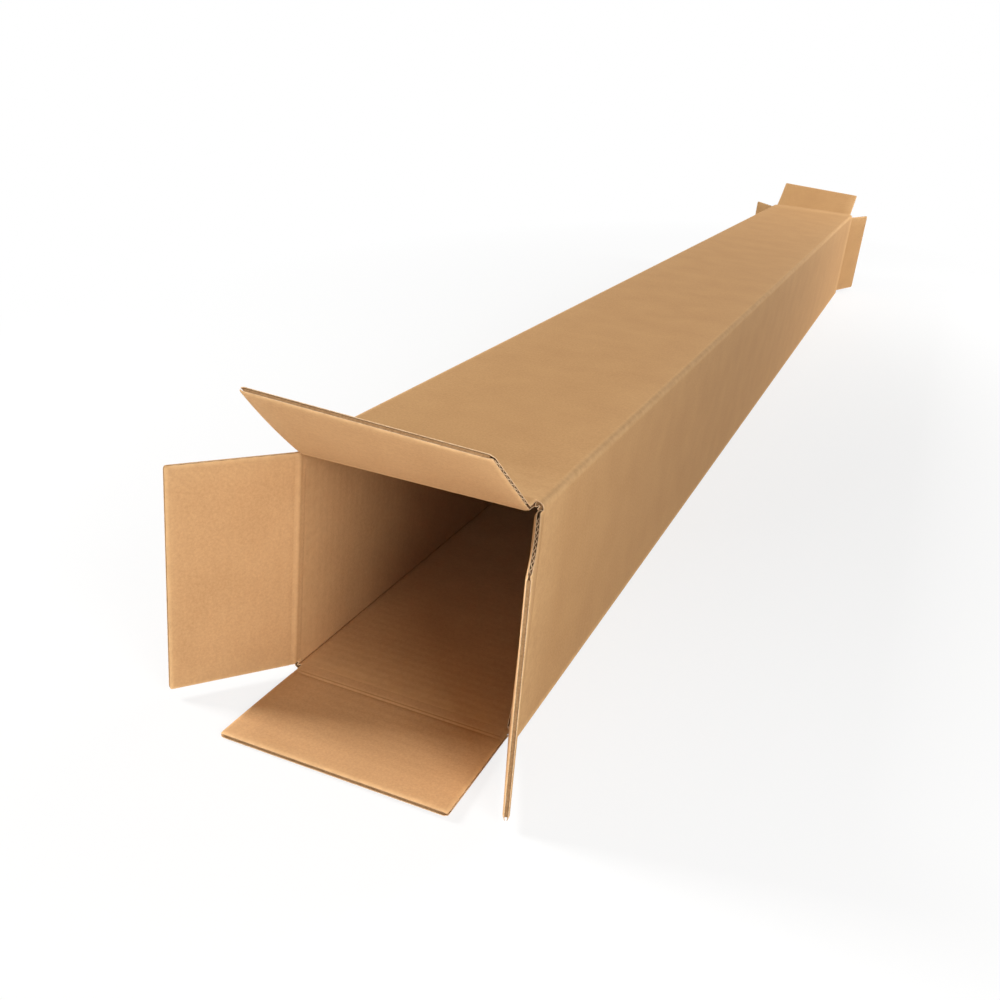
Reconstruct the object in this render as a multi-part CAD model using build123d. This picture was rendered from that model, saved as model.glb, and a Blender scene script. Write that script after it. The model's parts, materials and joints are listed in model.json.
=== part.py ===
# Long corrugated shipping box: one sheet folded into a square sleeve, with four scored flaps at each end.
# The origin is the middle of the underside. X runs across, Y along the box with the near end at -Y, Z up.
import os
from math import cos, pi, sin, sqrt

from build123d import *

# Inside of the box, and its length between the score lines of the top and floor panels
inside_width = 152.4
inside_height = 152.4
sleeve_length = 1828.8

# Board: two facing sheets glued to the crests of a wavy sheet
board = 4.0
liner = 0.4
medium = 0.45
flute_pitch = 7.8

# Folds along the box, slots between the flaps, and the glued tab inside the right panel
fold_radius = 4.4
fold_inner_radius = 0.6
slot_width = 7.0
slot_overrun = 3.0
tab_width = 35.0
tab_taper = 12.0
lap_depth_share = 0.4

# Flaps, and the crushed score that each one turns on
flap_length = 80.0
hinge_lift = 0.3
score_gap = 0.2
layer_gap = 0.4
side_room = 0.5

# How far each flap stands open from straight out, in degrees, with less than zero towards shut
open_angles = {
    "front_top_flap": 38.0,
    "front_bottom_flap": -0.8,
    "front_left_flap": 37.0,
    "front_right_flap": 19.8,
    "rear_top_flap": 24.2,
    "rear_bottom_flap": 0.0,
    "rear_left_flap": 35.0,
    "rear_right_flap": 18.0,
}

# Sizes that follow from these
outside_width = inside_width + 2 * board
outside_height = inside_height + 2 * board
middle_height = outside_height / 2
half_length = sleeve_length / 2
flap_across = inside_width + board - slot_width
flap_upright = inside_height + board - slot_width
side_setback = board + hinge_lift + layer_gap
slot_depth = side_setback + slot_overrun
tab_setback = side_setback + hinge_lift + board + layer_gap
mitre_start = hinge_lift + score_gap
mitre_end = mitre_start + board


def hinge_plane(name):
    """The score line's frame: x along the score, y into the panel, z out of the box."""
    end, side = name.split("_")[:2]
    inward = 1 if end == "front" else -1
    outward = {"top": (0, 0, 1), "bottom": (0, 0, -1), "left": (-1, 0, 0), "right": (1, 0, 0)}[side]
    along = Vector(0, inward, 0).cross(Vector(outward))
    setback = side_setback if side in ("left", "right") else 0
    origin = (
        outward[0] * (outside_width / 2 + hinge_lift),
        inward * (setback - half_length),
        middle_height + outward[2] * (outside_height / 2 + hinge_lift),
    )
    return Plane(origin=origin, x_dir=along, z_dir=outward)


def flap_width(name):
    """Top and bottom flaps run across the box, side flaps stand upright."""
    return flap_across if "top" in name or "bottom" in name else flap_upright


# Section of the sleeve, looking along the box
outer = Pos(0, middle_height) * RectangleRounded(outside_width, outside_height, fold_radius)
inner = Pos(0, middle_height) * RectangleRounded(inside_width, inside_height, fold_inner_radius)

# At the bottom right corner the floor panel folds up into the tab, and the right panel's raw edge laps over it
lap_height = fold_radius * lap_depth_share
lap_width = fold_radius * sqrt(1 - (1 - lap_depth_share) ** 2)
fold_centre = inside_width / 2 - lap_width
raw_edge = Pos((inside_width + board) / 2, fold_radius / 2) * Rectangle(board, fold_radius)
lap_groove = Pos(inside_width / 2 - lap_width / 2, lap_height / 2) * Rectangle(lap_width, lap_height)
lap_groove -= Pos(fold_centre, fold_radius) * Circle(fold_radius)
section = outer + raw_edge - inner - lap_groove
sleeve = extrude(Plane.XZ * section, half_length, both=True)

# Glued tab on the inside of the right panel, its ends cut back and tapered
tab_half = half_length - tab_setback
tab_outline = Polygon(
    (-tab_half, board),
    (tab_half, board),
    (tab_half - tab_taper, board + tab_width),
    (tab_taper - tab_half, board + tab_width),
    align=None,
)
tab = extrude(Plane.YZ.offset(inside_width / 2 - board) * tab_outline, board)
sleeve += tab

# The slots end just past the side panels' score lines, so the top and floor panels stand out as tongues
corner_width = (outside_width - flap_across) / 2
for across in (-1, 1):
    for along in (-1, 1):
        place = Pos(
            across * (flap_across + corner_width) / 2, along * (half_length - slot_depth / 2), middle_height
        )
        sleeve -= place * Box(corner_width, slot_depth, outside_height)

# Each panel is mitred along its score, so that a flap folds shut through a right angle
mitre = Polygon(
    (score_gap, 0),
    (mitre_end + board, -mitre_end - board + score_gap),
    (-mitre_end, -mitre_end - board + score_gap),
    (-mitre_end, 0),
    align=None,
)
for name in open_angles:
    wedge = extrude(Plane.YZ * mitre, flap_width(name) / 2 + side_room, both=True)
    sleeve -= hinge_plane(name).location * wedge


# Flute shape: how high the hollow under the wavy sheet stands over the liner, away from its crest
def hollow_height(away):
    swing = (board - 2 * liner - medium) / 2
    turn = 2 * pi * away / flute_pitch
    slope = swing * 2 * pi / flute_pitch * sin(turn)
    return swing * (1 + cos(turn)) - medium / 2 * (sqrt(1 + slope**2) - 1)


hollow_foot = 0.42 * flute_pitch
hollow_waist = 0.27 * flute_pitch
hollow_crown = 0.12 * flute_pitch
hollow_profile = [
    (-hollow_foot, 0),
    (-hollow_waist, hollow_height(hollow_waist)),
    (-hollow_crown, hollow_height(hollow_crown)),
    (hollow_crown, hollow_height(hollow_crown)),
    (hollow_waist, hollow_height(hollow_waist)),
    (hollow_foot, 0),
]

# Section of a flap standing straight out, with its flutes running along the score
flap_outer = -hinge_lift
flap_inner = -hinge_lift - board
flap_section = Polygon(
    (-mitre_start, flap_outer),
    (-flap_length, flap_outer),
    (-flap_length, flap_inner),
    (-mitre_end, flap_inner),
    align=None,
)
flute_room = flap_length - mitre_end - hollow_foot - liner
flute_halves = int(flute_room / (flute_pitch / 2)) + 1
for k in range(flute_halves):
    centre = k * flute_pitch / 2 - flap_length
    if k % 2 == 0:
        hollow = [(centre + y, flap_inner + liner + z) for y, z in hollow_profile]
    else:
        hollow = [(centre + y, flap_outer - liner - z) for y, z in hollow_profile]
    flap_section -= Polygon(*hollow, align=None)

# Write the sleeve and the flaps, each flap turned to where it stands
os.makedirs("parts", exist_ok=True)
sleeve.label = "sleeve"
export_step(sleeve, "parts/sleeve.step")
print("sleeve", round(sleeve.volume), "mm3,", len(sleeve.solids()), "solid")
for name, angle in open_angles.items():
    flap = extrude(Plane.YZ * flap_section, flap_width(name) / 2, both=True)
    flap = hinge_plane(name).location * Rot(X=-angle) * flap
    flap.label = name
    export_step(flap, f"parts/{name}.step")
    print(name, round(flap.volume), "mm3,", len(flap.solids()), "solid, hinge at", hinge_plane(name).origin)
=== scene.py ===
# %% [markdown]
# # A long corrugated shipping box
# The real box is one sheet of brown corrugated board. It is slotted and scored flat, folded round into a
# square sleeve and glued along one corner, and four flaps at each end are left standing open. The model
# keeps to that order: the sheet is folded first, then it gets its thickness, and the flaps are bent on
# their scores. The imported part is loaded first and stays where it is, as a frame that every new piece is
# measured from.

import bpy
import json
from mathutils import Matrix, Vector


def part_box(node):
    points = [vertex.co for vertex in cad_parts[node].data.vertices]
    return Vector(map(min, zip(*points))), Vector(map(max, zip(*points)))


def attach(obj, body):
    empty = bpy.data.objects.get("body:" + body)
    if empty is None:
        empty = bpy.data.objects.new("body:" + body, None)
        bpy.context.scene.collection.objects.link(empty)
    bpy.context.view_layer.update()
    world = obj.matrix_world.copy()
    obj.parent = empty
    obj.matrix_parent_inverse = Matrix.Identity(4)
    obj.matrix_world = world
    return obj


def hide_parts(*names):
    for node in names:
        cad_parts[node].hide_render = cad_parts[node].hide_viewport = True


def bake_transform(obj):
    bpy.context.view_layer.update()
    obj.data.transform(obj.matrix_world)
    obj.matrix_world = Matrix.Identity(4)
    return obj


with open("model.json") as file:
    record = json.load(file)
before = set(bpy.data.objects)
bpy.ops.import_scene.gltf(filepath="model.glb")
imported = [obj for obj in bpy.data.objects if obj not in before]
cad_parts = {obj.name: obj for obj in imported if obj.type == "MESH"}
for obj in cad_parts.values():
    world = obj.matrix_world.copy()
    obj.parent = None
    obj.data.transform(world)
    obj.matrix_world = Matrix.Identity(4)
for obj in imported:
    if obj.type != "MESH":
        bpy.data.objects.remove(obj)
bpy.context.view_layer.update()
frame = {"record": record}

# %% [markdown]
# ## Sizes
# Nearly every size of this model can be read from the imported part, so that the two can't drift apart. The
# rear bottom flap lies flat, so its box gives the board's thickness and the flap's width and length, and
# the hinges say where each score line runs. Only the liner's thickness and the flutes' pitch, which no
# box shows, are written down here.

# %% Read the sizes from the frame
import json
from math import copysign, cos, pi, radians, sin

import bmesh
import bpy
from mathutils import Matrix, Vector

MM = 0.001
hinges = {joint["child"]: joint for joint in frame["record"]["behaviour"]["joints"]}
sleeve_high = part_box("sleeve")[1]
flap_low, flap_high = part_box("rear_bottom_flap")
half_width, height = sleeve_high.x, sleeve_high.z
board = flap_high.z - flap_low.z
flap_half = flap_high.x
top_score = -hinges["front_bottom_flap"]["pos_m"][1]
side_score = -hinges["front_left_flap"]["pos_m"][1]
hinge_lift = -hinges["front_bottom_flap"]["pos_m"][2]
flap_length = flap_high.y - top_score
slot = half_width - flap_half
liner = 0.4 * MM
flute_pitch = 7.8 * MM
print(f"board {board / MM:.1f} mm, flaps {2 * flap_half / MM:.1f} by {flap_length / MM:.1f} mm")

# %% [markdown]
# ## Camera
# The photograph looks down along the box from the near end's right side, with the camera rolled a little.
# A camera can be aimed with a tracking constraint, but then the roll is hard to give. Here the three
# turns that were fitted to the box's edges are multiplied in order: tilt and roll in the camera's own
# frame, then the swing. The Standard view shows colours as they are written.

# %% Camera at the photograph's viewing angle
camera = bpy.data.objects.new("camera", bpy.data.cameras.new("camera"))
bpy.context.scene.collection.objects.link(camera)
camera.data.sensor_width = 36
camera.data.lens = 37.94
looking_down = 22.641
stand = Matrix.Translation((0.24649, -1.42631, 0.38639))
swing = Matrix.Rotation(radians(20.397), 4, "Z")
tilt = Matrix.Rotation(radians(90 - looking_down), 4, "X")
roll = Matrix.Rotation(radians(6.011), 4, "Z")
camera.matrix_world = stand @ swing @ tilt @ roll
bpy.context.scene.camera = camera
bpy.context.scene.view_settings.view_transform = "Standard"
print("lens", round(camera.data.lens, 1), "mm")

# %% [markdown]
# ## Colours and nodes
# Colours are easiest to pick as the hex values of a picture, but shaders work in linear light, so one
# function turns the one into the other. A second one adds a shader node, sets it up and links it, which
# keeps each material readable as a short list.

# %% Helpers for colours and shader nodes
def linear(code):
    """An sRGB hex colour as linear light, with alpha."""
    parts = [int(code[i:i + 2], 16) / 255 for i in (1, 3, 5)]
    return [c / 12.92 if c <= 0.04045 else ((c + 0.055) / 1.055) ** 2.4 for c in parts] + [1]


def add(tree, kind, inputs=None, **settings):
    """Add one shader node. Settings are its properties, and inputs are values or sockets to link."""
    made = tree.nodes.new("ShaderNode" + kind)
    for name, value in settings.items():
        setattr(made, name, value)
    for name, value in (inputs or {}).items():
        if isinstance(value, bpy.types.NodeSocket):
            tree.links.new(value, made.inputs[name])
        else:
            made.inputs[name].default_value = value
    return made


def new_material(name):
    """A node material with nothing in it yet, and its node tree."""
    material = bpy.data.materials.new(name)
    material.use_nodes = True
    material.node_tree.nodes.clear()
    return material, material.node_tree


print("kraft brown in linear light:", [round(c, 3) for c in linear("#C2956B")])

# %% [markdown]
# ## Floor and backdrop
# The photograph is a cut-out on pure white. Lamps that turn a floor pure white would be too strong for
# the box, so the floor is plain white card that shows mostly its own white to the camera: three quarters
# of it near the box, so that the shadow stays but is pale, and all of it further away. The world is white
# to the camera too, and only a dim light to everything else.

# %% White floor and white backdrop
def white_backdrop(tree, diffuse, own_light):
    """White for camera, mirror and glass rays, by the share that is its own light."""
    rays = add(tree, "LightPath").outputs
    seen = add(tree, "Math", {0: rays["Is Camera Ray"], 1: rays["Is Glossy Ray"]}, operation="MAXIMUM")
    seen = add(tree, "Math", {0: seen.outputs[0], 1: rays["Is Transmission Ray"]}, operation="MAXIMUM")
    share = add(tree, "Math", {0: seen.outputs[0], 1: own_light}, operation="MULTIPLY")
    white = add(tree, "Emission", {"Color": linear("#FFFFFF"), "Strength": 1.0})
    return add(tree, "MixShader", {0: share.outputs[0], 1: diffuse, 2: white.outputs[0]})


# White card: matte and even, with an oval round the long box where the shadow shows
shadow_oval = (1.0, 0.45, 1.0)
oval_start, oval_end = 0.25, 0.9
white_near_box = 0.75
floor_card, tree = new_material("white_card_floor")
card = add(tree, "BsdfDiffuse", {"Color": linear("#F4F4F2")})
floor_place = add(tree, "TexCoord").outputs["Object"]
spot = add(tree, "VectorMath", {0: floor_place, 1: shadow_oval}, operation="MULTIPLY")
away = add(tree, "VectorMath", {0: spot.outputs[0]}, operation="LENGTH")
fade = add(
    tree, "MapRange",
    {
        "Value": away.outputs["Value"], "From Min": oval_start, "From Max": oval_end,
        "To Min": white_near_box,
    },
)
mixed = white_backdrop(tree, card.outputs[0], fade.outputs[0])
add(tree, "OutputMaterial", {"Surface": mixed.outputs[0]})

# The floor lies level with the box's lowest point, where a panel bows out
floor_size = 40
floor_drop = 0.6 * MM
bpy.ops.object.select_all(action="DESELECT")
bpy.ops.mesh.primitive_plane_add(size=floor_size, location=(0, 0, -floor_drop))
floor = bpy.context.object
floor.name = "floor"
floor.data.materials.append(floor_card)

world_light = 0.06
world = bpy.data.worlds.new("white_studio")
bpy.context.scene.world = world
world.use_nodes = True
world.node_tree.nodes.clear()
dim = add(world.node_tree, "Background", {"Color": linear("#FFFFFF"), "Strength": world_light})
mixed = white_backdrop(world.node_tree, dim.outputs[0], 1.0)
add(world.node_tree, "OutputWorld", {"Surface": mixed.outputs[0]})
print("floor", floor_size, "m wide, world light", world_light)

# %% [markdown]
# ## Lamps
# In the photograph the light comes softly from the left, the open flaps are the brightest faces, and the
# inside falls off to near black. One large lamp over the box would light all of it alike. So a strong
# window on the left does most of the work, and weak soft boxes stand over the far half and round the two
# ends, where each one lifts only the faces that are turned to it.

# %% Soft lamps
def soft_box(name, place, target, size, watts):
    """A square lamp that faces its target and isn't seen itself."""
    lamp = bpy.data.objects.new(name, bpy.data.lights.new(name, "AREA"))
    lamp.data.shape = "SQUARE"
    lamp.data.size = size
    lamp.data.energy = watts
    lamp.visible_camera = False
    aim = (Vector(target) - Vector(place)).to_track_quat("-Z", "Y").to_matrix().to_4x4()
    lamp.matrix_world = Matrix.Translation(place) @ aim
    bpy.context.scene.collection.objects.link(lamp)


near_end, far_end = Vector((0, -top_score, height / 2)), Vector((0, top_score, height / 2))
soft_box("left_window", (-2.0, -1.2, 1.4), near_end, 0.6, 63)
soft_box("over_middle", (0.6, 0.4, 1.8), (0, 0.2, height), 0.8, 4.1)
soft_box("high_front_right", (1.4, -1.75, 1.2), near_end, 0.5, 4.5)
soft_box("right_of_flaps", (0.75, -1.55, 0.45), near_end, 0.4, 5.5)
soft_box("front_of_flaps", (0.1, -1.95, 0.3), near_end, 0.5, 2.6)
soft_box("right_of_far_end", (1.2, 1.3, 0.8), far_end, 0.6, 14.5)
soft_box("over_far_end", (0.2, 1.2, 1.2), far_end, 0.6, 5.4)

# %% [markdown]
# ## Kraft liner
# The faces of the board are unbleached kraft paper, made on a wire and dried on rollers: matte, an even
# warm brown, with short fibres that show as fine light and dark flecks and a soft cloudiness. Glued to
# the flutes, it dips a little between their crests, which gives faint straight lines. A picture could
# carry all this, but noise in real millimetres stays sharp at any size, and an attribute on the mesh, the
# distance across the flutes, lets the lines follow each flap round its fold. A second attribute marks
# where the paper is painted paler: partly where handling rubs, and partly as painted highlight on the
# folds, cut edges and scores. One function makes both papers, because the inside is the same but a
# little paler, partly as another liner and partly as painted light for the lit open flaps.

# %% Kraft liners, outside and inside
cloud_size, patch_size = 40 * MM, 6 * MM
# Real fibres are finer than this: the flecks are drawn as coarse as they need to be to show
fleck_size = 1.6 * MM
fleck_share = 0.45
fleck_height = 0.12 * MM


def kraft_paper(name, cloud_tones, fleck_tones, dip):
    """Unbleached kraft: cloudy and flecked between two pairs of tones, dipping between the flutes."""
    material, tree = new_material(name)
    place = add(tree, "TexCoord").outputs["Object"]

    # Clouds and flecks, each between a dark and a pale tone. On a Mix node, input 0 is the share, inputs 6
    # and 7 are the colours, and output 2 is the mixed colour
    cloud = add(tree, "TexNoise", {"Vector": place, "Scale": 1 / cloud_size, "Detail": 3.0})
    fibre = add(
        tree, "TexNoise", {"Vector": place, "Scale": 1 / fleck_size, "Detail": 4.0, "Roughness": 0.7}
    )
    cloudy = add(tree, "MapRange", {"Value": cloud.outputs[0], "From Min": 0.3, "From Max": 0.7})
    flecks = add(tree, "MapRange", {"Value": fibre.outputs[0], "From Min": 0.32, "From Max": 0.68})
    dark, pale = [linear(tone) for tone in cloud_tones]
    paper = add(tree, "Mix", {0: cloudy.outputs[0], 6: dark, 7: pale}, data_type="RGBA")
    dark, pale = [linear(tone) for tone in fleck_tones]
    flecked = add(tree, "Mix", {0: flecks.outputs[0], 6: dark, 7: pale}, data_type="RGBA")
    paper = add(tree, "Mix", {0: fleck_share, 6: paper.outputs[2], 7: flecked.outputs[2]}, data_type="RGBA")

    # Edges, folds and scores are painted paler, as rubbed fibres and as painted highlight, in patches
    wear_and_highlight = add(tree, "Attribute", attribute_name="wear_and_highlight")
    patch = add(tree, "TexNoise", {"Vector": place, "Scale": 1 / patch_size, "Detail": 3.0})
    patchy = add(
        tree, "MapRange", {"Value": patch.outputs[0], "From Min": 0.35, "From Max": 0.65, "To Min": 0.55}
    )
    wear_highlight_share = add(tree, "Math", {0: wear_and_highlight.outputs["Fac"], 1: patchy.outputs[0]}, operation="MULTIPLY")
    pale_wear_highlight_tone = linear("#EABF8A")
    paper = add(tree, "Mix", {0: wear_highlight_share.outputs[0], 6: paper.outputs[2], 7: pale_wear_highlight_tone}, data_type="RGBA")

    # The dips follow the distance across the flutes, and the grain lies on top of them
    across = add(tree, "Attribute", attribute_name="across_flutes")
    phase = add(tree, "Math", {0: across.outputs["Fac"], 1: 2 * pi / flute_pitch}, operation="MULTIPLY")
    ripple = add(tree, "Math", {0: phase.outputs[0]}, operation="SINE")
    dips = add(tree, "Bump", {"Height": ripple.outputs[0], "Strength": 1.0, "Distance": dip / 2})
    grain = add(
        tree, "Bump",
        {"Height": fibre.outputs[0], "Strength": 0.5, "Distance": fleck_height, "Normal": dips.outputs[0]},
    )
    shader = add(
        tree, "BsdfPrincipled",
        {
            "Base Color": paper.outputs[2], "Roughness": 0.85, "IOR": 1.5, "Specular IOR Level": 0.25,
            "Normal": grain.outputs[0],
        },
    )
    add(tree, "OutputMaterial", {"Surface": shader.outputs[0]})
    return material


# Outside paper: a matte warm brown with faint lines over the flutes
kraft_liner = kraft_paper("kraft_liner", ("#B78A59", "#C29562"), ("#AD8152", "#CC9E6B"), 0.06 * MM)
# Inside paper: a little paler, and a little flatter over the flutes
# Part of its paleness is painted light for the brightly lit open flaps, the rest a different liner
inner_liner_painted_light = kraft_paper("inner_kraft_liner_painted_light", ("#BF9365", "#CB9F70"), ("#B5895E", "#D5A979"), 0.05 * MM)
print("liners:", kraft_liner.name, inner_liner_painted_light.name)

# %% [markdown]
# ## Cut edges and flutes
# Where the sheet was slotted and trimmed, the knife leaves soft, torn fibres that scatter more light, so
# cut edges are paler than the faces. The wavy sheet inside is a rougher, darker paper, darkened further
# as painted shade for the hollows between the liners. Both are plain papers seen only as thin lines, so
# a colour, a fibre fleck and a strong grain are enough.

# %% Cut kraft edge and fluting paper
def plain_paper(name, dark, pale, fibre_size):
    """A matte paper between two colours, flecked at the size of its fibres."""
    material, tree = new_material(name)
    place = add(tree, "TexCoord").outputs["Object"]
    fibre = add(tree, "TexNoise", {"Vector": place, "Scale": 1 / fibre_size, "Detail": 3.0})
    share = add(tree, "MapRange", {"Value": fibre.outputs[0], "From Min": 0.3, "From Max": 0.7})
    colour = add(tree, "Mix", {0: share.outputs[0], 6: linear(dark), 7: linear(pale)}, data_type="RGBA")
    grain = add(tree, "Bump", {"Height": fibre.outputs[0], "Strength": 0.6, "Distance": 0.2 * MM})
    shader = add(
        tree, "BsdfPrincipled",
        {
            "Base Color": colour.outputs[2], "Roughness": 0.95, "IOR": 1.5, "Specular IOR Level": 0.15,
            "Normal": grain.outputs[0],
        },
    )
    add(tree, "OutputMaterial", {"Surface": shader.outputs[0]})
    return material


# Knife-cut kraft: a soft pale line. Fluting: duller, darker as its own tone and as painted shade between
# liners
cut_edge = plain_paper("cut_kraft_edge", "#CBA077", "#E6C8A2", 1.2 * MM)
fluting_with_painted_shade = plain_paper("fluting_paper_painted_shade", "#8C6A48", "#A6825B", 1.5 * MM)
print("papers:", cut_edge.name, fluting_with_painted_shade.name)

# %% [markdown]
# ## Working on a mesh as by hand
# In Blender's window a modeller clicks on points and edges. A script picks them by where they are
# instead. These helpers do only that and the commonest moves: one picks points by a test of their place,
# one pulls what is picked into a new strip, and one adds a flat grid at its size and place.

# %% Helpers for modelling
NEAR = 0.01 * MM


def pick(piece, wanted):
    """In edit mode, select the points whose place passes the test, and nothing else."""
    bpy.ops.mesh.select_mode(type="VERT")
    mesh = bmesh.from_edit_mesh(piece.data)
    for point in mesh.verts:
        point.select = bool(wanted(point.co))
    mesh.select_flush_mode()
    bmesh.update_edit_mesh(piece.data)


def pull(step):
    """Extrude what is selected by a step."""
    bpy.ops.mesh.extrude_region_move(TRANSFORM_OT_translate={"value": step})


def add_grid(name, centre, size, cells, turn=(0, 0, 0)):
    """A flat grid of its real size, left in edit mode."""
    bpy.ops.object.select_all(action="DESELECT")
    bpy.ops.mesh.primitive_grid_add(x_subdivisions=cells[0], y_subdivisions=cells[1], size=1, rotation=turn)
    piece = bpy.context.object
    piece.name = name
    piece.scale = (size[0], size[1], 1)
    piece.location = centre
    bpy.ops.object.transform_apply(location=True, rotation=True, scale=True)
    bpy.ops.object.mode_set(mode="EDIT")
    return piece


print("points are picked to within", NEAR / MM, "mm")

# %% [markdown]
# ## The sleeve, folded from a sheet
# The sleeve could be a box with its ends deleted, but a real one is a sheet that goes round and laps over
# itself. So it starts as a narrow strip at the raw edge of the right panel, and the strip's edge is
# pulled on round the section: up the right panel, over the top, down the left, back along the floor, and
# up the glued tab. Columns are placed where the slots between the flaps will be cut.

# %% Fold the sheet round
# The slots run a little past the side flaps' scores, and the flaps' own board starts just behind that
slot_end = side_score - 3 * MM
panel_end = side_score - 5 * MM
lap_gap = 0.6 * MM
tab_fold = half_width - board - 0.1 * MM
tab_top = board + 35 * MM
tab_corner = 6 * MM
panel_columns = 5
rows = 36
upright = (0, radians(90), 0)

sleeve = add_grid(
    "sleeve_board", (half_width, 0, (lap_gap + slot) / 2), (slot - lap_gap, 2 * panel_end), (1, rows),
    turn=upright,
)
for end in (-1, 1):
    pick(sleeve, lambda p: end * p.y > panel_end - NEAR)
    pull((0, end * (slot_end - panel_end), 0))


def stops(first, last):
    """Places along a panel, between the columns at its two slots."""
    return [first + (last - first) * k / panel_columns for k in range(1, panel_columns + 1)]


right_panel = [(half_width, z) for z in stops(slot, height - slot)]
top_panel = [(x, height) for x in stops(flap_half, -flap_half)]
left_panel = [(-half_width, z) for z in stops(height - slot, slot)]
floor_panel = [(x, 0) for x in stops(-flap_half, tab_fold - tab_corner)]
route = [(half_width, slot), *right_panel, (half_width, height)]
route += [(flap_half, height), *top_panel, (-half_width, height)]
route += [(-half_width, height - slot), *left_panel, (-half_width, 0)]
route += [(-flap_half, 0), *floor_panel, (tab_fold, 0)]
route += [(tab_fold, tab_corner), (tab_fold, tab_top - tab_corner), (tab_fold, tab_top)]
pick(sleeve, lambda p: p.z > slot - NEAR)
for (x0, z0), (x1, z1) in zip(route, route[1:]):
    pull((x1 - x0, 0, z1 - z0))
print("sheet folded through", len(route), "lines")

# %% [markdown]
# ## Slots and the glued tab
# At each end the sheet stops early along the panels, where the scored flaps take over, and runs on only
# at the corners, up to the bottom of the slots. The tab's ends are cut back and tapered so that it
# doesn't catch. A boolean cut would do it, but on a grid with columns in the right places it is a matter
# of deleting faces and sliding the tab's end points.

# %% Cut the slots and taper the tab
def pick_faces(piece, wanted):
    """In edit mode, select the faces that pass the test, and nothing else."""
    bpy.ops.mesh.select_mode(type="FACE")
    bpy.ops.mesh.select_all(action="DESELECT")
    mesh = bmesh.from_edit_mesh(piece.data)
    for face in mesh.faces:
        face.select = bool(wanted(face))
    mesh.select_flush_mode()
    bmesh.update_edit_mesh(piece.data)


def past_panel(face):
    """Faces of the end strip that belong to a panel and not to a corner."""
    p = face.calc_center_median()
    in_top = abs(p.x) < flap_half and p.z > height - NEAR
    in_side = abs(p.x) > half_width - NEAR and slot < p.z < height - slot
    in_floor_or_tab = p.z < NEAR and p.x > -flap_half or abs(p.x - tab_fold) < NEAR
    return abs(p.y) > panel_end and (in_top or in_side or in_floor_or_tab)


def on_tab_end(p, end, level):
    """Points at one end of the tab that lie at a given height."""
    return abs(p.x - tab_fold) < NEAR and abs(p.z - level) < NEAR and end * p.y > panel_end - NEAR


pick_faces(sleeve, past_panel)
bpy.ops.mesh.delete(type="FACE")

# Heights on the tab, and how far its ends are cut back there
tab_taper = ((tab_corner, 3 * MM), (tab_top - tab_corner, 11 * MM), (tab_top, 13 * MM))
for end in (-1, 1):
    for level, cut_back in tab_taper:
        pick(sleeve, lambda p: on_tab_end(p, end, level))
        bpy.ops.transform.translate(value=(0, -end * cut_back, 0))
print("slots", round(2 * slot / MM, 1), "mm round a corner, tab", round((tab_top - board) / MM), "mm wide")

# %% [markdown]
# ## Folds
# Corrugated board folds on a crushed line, so the corner is round outside, about as round as the board is
# thick, and sharp inside. The round side is made here, by bevelling the fold lines of the thin sheet. The
# sheet's faces are then turned to point out of the box, because the next step grows it the other way.

# %% Round the folds
fold_radius = 4.4 * MM
folds = [(half_width, height), (-half_width, height), (-half_width, 0), (tab_fold, 0)]


def on_fold(p):
    """Points on one of the four lines that the sheet is folded at."""
    return any(abs(p.x - x) < NEAR and abs(p.z - z) < NEAR for x, z in folds)


pick(sleeve, on_fold)
bpy.ops.mesh.bevel(offset=fold_radius, segments=5, affect="EDGES")
bpy.ops.mesh.select_all(action="SELECT")
bpy.ops.mesh.normals_make_consistent(inside=False)
bpy.ops.object.mode_set(mode="OBJECT")
top_face = max(sleeve.data.polygons, key=lambda f: f.center.z)
if top_face.normal.z < 0:
    bpy.ops.object.mode_set(mode="EDIT")
    bpy.ops.mesh.select_all(action="SELECT")
    bpy.ops.mesh.flip_normals()
    bpy.ops.object.mode_set(mode="OBJECT")
print(len(folds), "folds rounded to", round(fold_radius / MM, 1), "mm")

# %% [markdown]
# ## Bow and thickness
# Board that has been stacked and carried is never quite flat, so the panels are given a slow wave of
# about a millimetre. Points could be moved one by one, but Displace does it with one smooth texture, and
# a vertex group fades it out at the folds and ends, where the flaps have to meet the sleeve. Solidify
# then grows the sheet inwards to the board's thickness, with the inner liner inside and cut edges round
# its rim.

# %% Bow the panels and give the board its thickness
def finish_with(piece, kind, **settings):
    """Add a modifier to the piece and apply it."""
    bpy.ops.object.mode_set(mode="OBJECT")
    bpy.ops.object.select_all(action="DESELECT")
    piece.select_set(True)
    bpy.context.view_layer.objects.active = piece
    bpy.ops.object.modifier_add(type=kind)
    for name, value in settings.items():
        setattr(piece.modifiers[-1], name, value)
    bpy.ops.object.modifier_apply(modifier=piece.modifiers[-1].name)


# How far from a fold the wave starts and is full, and how far from an end it is full
wave_start, wave_full, wave_full_along = 8 * MM, 60 * MM, 120 * MM
panel_middles = sleeve.vertex_groups.new(name="panel_middles")
for point in sleeve.data.vertices:
    x, y, z = point.co
    from_fold = min(max(half_width - abs(x), min(z, height - z)), wave_full)
    from_end = min(panel_end - abs(y), wave_full_along)
    share = max(from_fold - wave_start, 0) / (wave_full - wave_start) * max(from_end, 0) / wave_full_along
    panel_middles.add([point.index], share, "REPLACE")
slow_waves = bpy.data.textures.new("slow_waves", type="CLOUDS")
slow_waves.noise_scale = 0.3
finish_with(
    sleeve, "DISPLACE", texture=slow_waves, texture_coords="GLOBAL", vertex_group="panel_middles",
    strength=2.4 * MM, mid_level=0.5,
)

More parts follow.
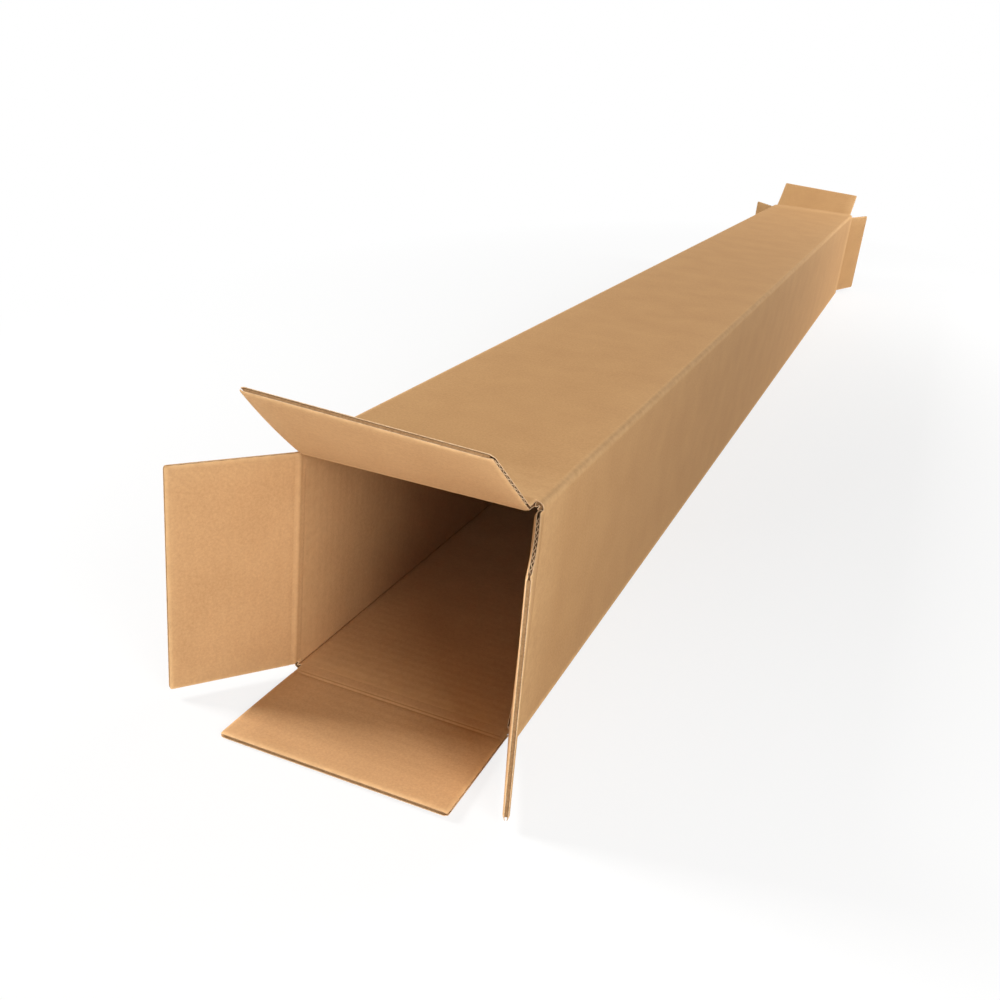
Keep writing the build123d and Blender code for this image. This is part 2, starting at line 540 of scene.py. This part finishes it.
# The inside takes the paler inner liner, whose paleness is partly painted light
for paper in (kraft_liner, cut_edge, fluting_with_painted_shade, inner_liner_painted_light):
    sleeve.data.materials.append(paper)
cut_slot, fluting_shade_slot, inner_light_slot = 1, 2, 3
finish_with(
    sleeve, "SOLIDIFY", thickness=board, offset=-1, use_even_offset=True,
    material_offset=inner_light_slot, material_offset_rim=cut_slot,
)
print("sleeve:", len(sleeve.data.polygons), "faces")

# %% [markdown]
# ## Crushed lines inside the folds
# Before the sheet is folded, a wheel crushes the flutes along each fold, and inside the box that line
# stays as a fine dark crease. Bump could fake it, but a crease that shades itself has to be a real
# groove. The points along each inner corner are moved outwards, into the thickness of the fold.

# %% Press a groove into each inner corner
groove = 1.2 * MM
corner_reach = 0.6 * MM
bpy.ops.object.mode_set(mode="EDIT")
for x, z in folds:
    right, up = copysign(1, x), copysign(1, z - height / 2)
    inner_x, inner_z = x - right * board, z - up * board
    pick(sleeve, lambda p: abs(p.x - inner_x) < corner_reach and abs(p.z - inner_z) < corner_reach)
    bpy.ops.transform.translate(value=(right * groove, 0, up * groove))
bpy.ops.object.mode_set(mode="OBJECT")
print("grooves", round(groove / MM, 1), "mm into each wall")

# %% [markdown]
# ## Raw edges
# A cut through the board shows two pale paper edges with a dark gap between them. Insetting the edge's
# faces and pushing the middle in makes that gap: a shallow one at the bottom of the slots, and a deeper
# one at the tab's ends and along the two long raw edges, where the sheet laps.

# %% Open the raw edges
def at_slot(face):
    """Cut faces at the bottom of the slots, but not where the flaps carry on."""
    p = face.calc_center_median()
    return face.material_index == cut_slot and abs(face.normal.y) > 0.9 and abs(p.y) > slot_end - NEAR


def at_tab_end(face):
    """Cut faces at the two tapered ends of the glued tab."""
    p = face.calc_center_median()
    in_tab = abs(p.x - tab_fold + board / 2) < 1 * MM and board < p.z < tab_top
    return face.material_index == cut_slot and abs(face.normal.y) > 0.8 and in_tab


def at_lap(face):
    """Cut faces along the two long raw edges."""
    p = face.calc_center_median()
    low_or_tab = p.z < 2 * lap_gap or abs(p.z - tab_top) < NEAR
    return face.material_index == cut_slot and abs(face.normal.z) > 0.9 and low_or_tab


slot_hollow, lap_hollow = 1.5 * MM, 3 * MM
hollow_taper = 0.05 * MM
bpy.ops.object.mode_set(mode="EDIT")
# The hollows take the fluting paper, which is dark partly as painted shade
sleeve.active_material_index = fluting_shade_slot
for wanted, depth in ((at_slot, slot_hollow), (at_tab_end, lap_hollow), (at_lap, lap_hollow)):
    pick_faces(sleeve, wanted)
    bpy.ops.mesh.inset(thickness=liner, use_even_offset=True)
    bpy.ops.object.material_slot_assign()
    bpy.ops.mesh.inset(thickness=hollow_taper, depth=-depth, use_even_offset=True)
bpy.ops.object.mode_set(mode="OBJECT")
print("raw edges opened by up to", round(lap_hollow / MM, 1), "mm")

# %% [markdown]
# ## The wavy sheet
# Between the liners runs a sheet pressed into waves, the flutes. It shows only at cut edges, but there it
# is what makes board look like board. A grid with four rows to a flute has its rows moved up and down in
# turn, Subdivision rounds them, and Solidify makes it paper. Subdivision draws a wave in by a third, so
# the rows are moved half as far again, all but the first and last, which it leaves where they are.

# %% Press a grid into flutes
medium = 0.5 * MM
swing_height = board / 2 - liner - medium / 2
rows_per_flute = 4
overshoot = 1.5


def press_flutes(piece, start, step, count, lift, first):
    """Move the rows of a flat grid to crests and troughs, the first by its own share, and round them."""
    def row(p):
        return round((p.y - start) / step)

    for shift, side in ((0, 1), (rows_per_flute // 2, -1)):
        pick(piece, lambda p: row(p) % rows_per_flute == shift and row(p) not in (0, count))
        bpy.ops.transform.translate(value=[overshoot * side * n for n in lift])
    pick(piece, lambda p: row(p) == 0)
    bpy.ops.transform.translate(value=[first * n for n in lift])
    finish_with(piece, "SUBSURF", levels=1, render_levels=1)
    piece.data.materials.append(fluting_with_painted_shade)
    piece.data.materials.append(cut_edge)
    finish_with(piece, "SOLIDIFY", thickness=medium, offset=0, material_offset_rim=1)


print("flutes swing", round(swing_height / MM, 2), "mm to each side")

# %% [markdown]
# ## Flutes along the raw edges
# Along the lap and the edge of the glued tab, the cut runs across the flutes, so their waves show as a
# fine zigzag from end to end. The whole sleeve could be filled with waves, but only a narrow strip just
# inside each raw edge is ever seen. Two strips are made and joined to the sleeve, and smooth shading
# below 40 degrees keeps the cut edges sharp.

# %% Set flutes into the long raw edges
strip_width = 3.0 * MM
strip_inset = strip_width / 2 + 0.1 * MM
smooth_below = radians(40)


def edge_flutes(name, x, z, half_run):
    """A strip of flutes that stands just inside a long raw edge."""
    count = round(2 * half_run / flute_pitch) * rows_per_flute
    strip = add_grid(name, (x, 0, z), (strip_width, 2 * half_run), (1, count), turn=upright)
    press_flutes(strip, -half_run, 2 * half_run / count, count, (swing_height, 0, 0), 1.0)
    return strip


def join(main, others):
    """Join pieces into the main one, which stays selected."""
    bpy.ops.object.select_all(action="DESELECT")
    for piece in (main, *others):
        piece.select_set(True)
    bpy.context.view_layer.objects.active = main
    bpy.ops.object.join()


lap_run, tab_run = slot_end - 1 * MM, panel_end - 14 * MM
lap_strip = edge_flutes("lap_flutes", half_width - board / 2, lap_gap + strip_inset, lap_run)
tab_strip = edge_flutes("tab_flutes", tab_fold - board / 2, tab_top - strip_inset, tab_run)
join(sleeve, (lap_strip, tab_strip))
bpy.ops.object.shade_smooth_by_angle(angle=smooth_below)
print("sleeve with its flutes:", len(sleeve.data.polygons), "faces")

# %% [markdown]
# ## Finish the sleeve
# The liner's faint lines follow the distance along the box. Its outer folds are painted paler, partly
# where hands and shelves rub and partly as painted highlight, and its ends a little paler where they
# rub. Both could be painted by hand, but here they are worked out from each point's place and stored on
# the points, where the material reads them. The piece then takes the CAD sleeve's place.

# %% Mark the sleeve and seat it
def mark(piece, name, measure):
    """Keep a number for each point of the mesh, which a material can read."""
    values = piece.data.attributes.new(name, "FLOAT", "POINT")
    for point, value in zip(piece.data.vertices, values.data):
        value.value = measure(point.co)


# How far the paler bands reach, and how pale: wear and painted highlight on the folds, wear at the ends
wear_highlight_width = 6 * MM
fold_wear_highlight, end_rub = 0.9, 0.5


def sleeve_wear_highlight(p):
    """How pale a point goes: most on the outer folds, as wear and painted highlight, and a little at the
    ends, as wear.
    """
    from_corner = (half_width - abs(p.x)) + min(p.z, height - p.z)
    fold = max(0, 1 - from_corner / wear_highlight_width) * fold_wear_highlight
    end = max(0, 1 - (slot_end - abs(p.y)) / wear_highlight_width) * end_rub
    return max(fold, end)


mark(sleeve, "across_flutes", lambda p: p.y)
mark(sleeve, "wear_and_highlight", sleeve_wear_highlight)
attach(sleeve, "sleeve")
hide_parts("sleeve")
print("sleeve seated,", len(sleeve.data.vertices), "points")

# %% [markdown]
# ## A flap, laid flat
# A flap is the same board carried on past a score, a line where a blunt wheel has crushed the flutes. It
# is modelled lying straight out from its panel, with the score along X at the origin and the panel
# towards +Y, because it is far easier to lay out flat than where it stands. Each liner is a grid with a
# narrow border, where the knife pinched the board, and rows pulled out across the score.

# %% Lay out a liner
border = 2.5 * MM
free_pinch = 0.65 * MM
side_pinch = 0.9 * MM
corner_round = 2.0 * MM
score_room = 5 * MM
liner_columns = 9
liner_rows = 14
outer_level = -hinge_lift
inner_level = -hinge_lift - board
free_edge = border - flap_length


def lay_liner(name, level, towards, score_rows, panel_start):
    """One liner of a flap in the score's frame. Its cut edges are pinched towards the other liner."""
    length = -score_room - free_edge
    sheet = add_grid(
        name, (0, free_edge + length / 2, level), (2 * (flap_half - border), length),
        (liner_columns, liner_rows),
    )
    for side in (-1, 1):
        pick(sheet, lambda p: side * p.x > flap_half - border - NEAR)
        pull((side * border, 0, towards * side_pinch))

    # The free edge is rounded over in two steps, the second one steeper
    pick(sheet, lambda p: p.y < free_edge + NEAR)
    pull((0, -0.6 * border, towards * 0.4 * free_pinch))
    pull((0, -0.4 * border, towards * 0.6 * free_pinch))

    # Rows across the score, and the strip of panel, whose sides aren't pinched where it meets the sleeve
    pick(sheet, lambda p: p.y > -score_room - NEAR)
    last, last_rise = -score_room, 0
    for y, rise in score_rows + [(panel_start, 0)]:
        pull((0, y - last, rise - last_rise))
        last, last_rise = y, rise
    pick(sheet, lambda p: p.y > panel_start - NEAR and abs(p.x) > flap_half - NEAR)
    bpy.ops.transform.translate(value=(0, 0, -towards * side_pinch))

    pick(sheet, lambda p: p.y < -flap_length + NEAR and abs(p.x) > flap_half - NEAR)
    bpy.ops.mesh.bevel(offset=corner_round, segments=3, affect="VERTICES")
    bpy.ops.object.mode_set(mode="OBJECT")
    return sheet


print("a liner has", liner_columns + 2, "columns")

# %% [markdown]
# ## The score
# On the inside the wheel leaves a groove with a low ridge on each side, and on the outside a slight bead.
# When the flap swings out, the groove opens to a narrow pale band. One sharp bend would look like a
# crack, so each row near the score turns by its share of the flap's angle, and the band comes out round.
# A flap that has been handled is a little twisted too, the more the nearer to its free edge. With no
# window the rotate operator turns the other way, so a positive value lifts the flap out of the box.

# %% Bend and twist a sheet
# Rows at a distance from the score, and how far each rises from the liner, both in millimetres
inner_ridges = (
    (-3.2, 0.0), (-2.3, 0.18), (-1.5, 0.28), (-0.7, 0.1), (0.0, 0.0),
    (0.7, 0.1), (1.5, 0.28), (2.3, 0.18), (3.2, 0.0),
)
outer_bead = ((-2.2, 0.0), (-1.0, 0.12), (0.0, 0.16), (1.0, 0.12), (2.2, 0.0))
inner_score = [(y * MM, rise * MM) for y, rise in inner_ridges]
outer_score = [(y * MM, rise * MM) for y, rise in outer_bead]
bend_reach = 1.5 * MM


def pick_points(sheet, points):
    """In edit mode, select points by number, and nothing else."""
    mesh = bmesh.from_edit_mesh(sheet.data)
    for point in mesh.verts:
        point.select = point.index in points
    mesh.select_flush_mode()
    bmesh.update_edit_mesh(sheet.data)


def turn_rows(sheet, share_of, angle, axis, centre):
    """Turn the points of a flat sheet, gathered by the share of the angle that their place gives."""
    bpy.ops.object.mode_set(mode="EDIT")
    gathered = {}
    for point in bmesh.from_edit_mesh(sheet.data).verts:
        gathered.setdefault(round(share_of(point.co), 3), set()).add(point.index)
    for share, points in gathered.items():
        pick_points(sheet, points)
        bpy.ops.transform.rotate(value=angle * share, orient_axis=axis, center_override=centre)
    bpy.ops.object.mode_set(mode="OBJECT")


def bend(sheet, angle):
    """Turn the rows of a flat sheet about the score, from none of the angle to all of it."""
    turn_rows(sheet, lambda p: min(max(0.5 - p.y / (2 * bend_reach), 0), 1), angle, "X", (0, 0, 0))


def twist(sheet, angle, centre):
    """Turn the rows of a flat sheet about a line across the score, most at the free edge."""
    turn_rows(sheet, lambda p: (min(p.y, 0) / flap_length) ** 2, angle, "Y", (centre * flap_half, 0, 0))


print("score rows:", len(inner_score), "inside,", len(outer_score), "outside")

# %% [markdown]
# ## The sheets of a flap
# A flap's cut edges are all in view, so it is not one thick plate but what the real board is: two liners
# with the wavy sheet between them. At the free edge the knife has crushed the flutes flat, and a thin
# strip there stands for them. All flaps are cut alike, so one function lays out the four sheets, each
# with its own mesh.

# %% Lay out the four sheets of a flap
# Bands along a flap's cut edges and its score, painted paler as wear and as painted highlight
edge_wear_highlight_width, score_wear_highlight_width = 3 * MM, 2.5 * MM
edge_wear_highlight, score_wear_highlight = 0.8, 0.35
wave_setback = 0.3 * MM
crushed_cells = (6, 1)
crushed_size = (2 * (flap_half - border), border - 0.8 * MM)
crushed_thickness = board - 2 * (liner + free_pinch) - 0.1 * MM


def flap_wear_highlight(p):
    """How pale a flap's face goes, as wear and painted highlight: along its cut edges, and on the score."""
    from_edge = min(flap_half - abs(p.x), flap_length + p.y)
    edge = max(0, 1 - from_edge / edge_wear_highlight_width) * edge_wear_highlight
    score = max(0, 1 - abs(p.y) / score_wear_highlight_width) * score_wear_highlight
    return max(edge, score)


def lay_sheets(name, panel_start):
    """Both liners, the wavy sheet and the crushed strip, lying flat in the score's frame."""
    outer = lay_liner(name + "_outer_liner", outer_level, -1, outer_score, panel_start)
    inner = lay_liner(name + "_inner_liner_painted_light", inner_level, 1, inner_score, panel_start)
    for sheet, grow, paper in ((outer, -1, kraft_liner), (inner, 1, inner_liner_painted_light)):
        sheet.data.materials.append(paper)
        sheet.data.materials.append(cut_edge)
        mark(sheet, "across_flutes", lambda p: p.y)
        mark(sheet, "wear_and_highlight", flap_wear_highlight)
        finish_with(sheet, "SOLIDIFY", thickness=liner, offset=grow, material_offset_rim=1)

    middle = (outer_level + inner_level) / 2
    run = -score_room - free_edge
    count = round(run / flute_pitch * rows_per_flute)
    wave_size = (2 * flap_half - wave_setback, run)
    waves = add_grid(name + "_waves", (0, (free_edge - score_room) / 2, middle), wave_size, (1, count))
    press_flutes(waves, free_edge, run / count, count, (0, 0, swing_height - side_pinch), 0.5)
    crushed_place = (0, 0.6 * border - flap_length, middle)
    crushed = add_grid(name + "_crushed", crushed_place, crushed_size, crushed_cells)
    finish_with(crushed, "SOLIDIFY", thickness=crushed_thickness, offset=0)
    crushed.data.materials.append(fluting_with_painted_shade)
    for sheet in (waves, crushed):
        mark(sheet, "across_flutes", lambda p: p.y)
        mark(sheet, "wear_and_highlight", lambda p: 0)
    return outer, inner, waves, crushed


print("crushed strip", round(crushed_thickness / MM, 2), "mm thick")

# %% [markdown]
# ## Eight flaps
# Each flap is twisted and bent as it stands in the photograph, its sheets are joined, and the whole is
# moved to its hinge. The side panels' flaps are scored a little further in than the others, so their
# strip of panel is shorter.

# %% Make each flap and set it on its hinge
# Twist at the free edge in degrees, and the line that it turns about, as a share of half the flap's width
twists = {
    "front_top_flap": (-1.9, 1.0), "front_bottom_flap": (0.54, -0.58), "front_right_flap": (1.2, 1.0),
    "rear_top_flap": (3.0, -1.0),
}
shut_angle = -90


def make_flap(name):
    """One flap as it stands, in place of its CAD node. Its hinge's range starts at shut."""
    hinge = hinges[name]
    angle = radians(shut_angle - hinge["range_deg"][0])
    place = Vector(hinge["pos_m"])
    along = -Vector(hinge["axis"])
    inward = Vector((0, -copysign(1, place.y), 0))
    outward = along.cross(inward)

    sheets = lay_sheets(name, abs(place.y) - panel_end)
    for sheet in sheets:
        bpy.ops.object.select_all(action="DESELECT")
        bpy.context.view_layer.objects.active = sheet
        if name in twists:
            degrees, centre = twists[name]
            twist(sheet, radians(degrees), centre)
        bend(sheet, angle)
    outer = sheets[0]
    join(outer, sheets[1:])
    outer.name = name + "_board"
    outer.matrix_world = Matrix.Translation(place) @ Matrix((along, inward, outward)).transposed().to_4x4()
    bpy.ops.object.transform_apply(location=True, rotation=True, scale=True)
    bpy.ops.object.shade_smooth_by_angle(angle=smooth_below)

    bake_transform(outer)
    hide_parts(name)
    return outer


flaps = {name: make_flap(name) for name in hinges}
print("flaps:", {name: len(flap.data.polygons) for name, flap in flaps.items()})
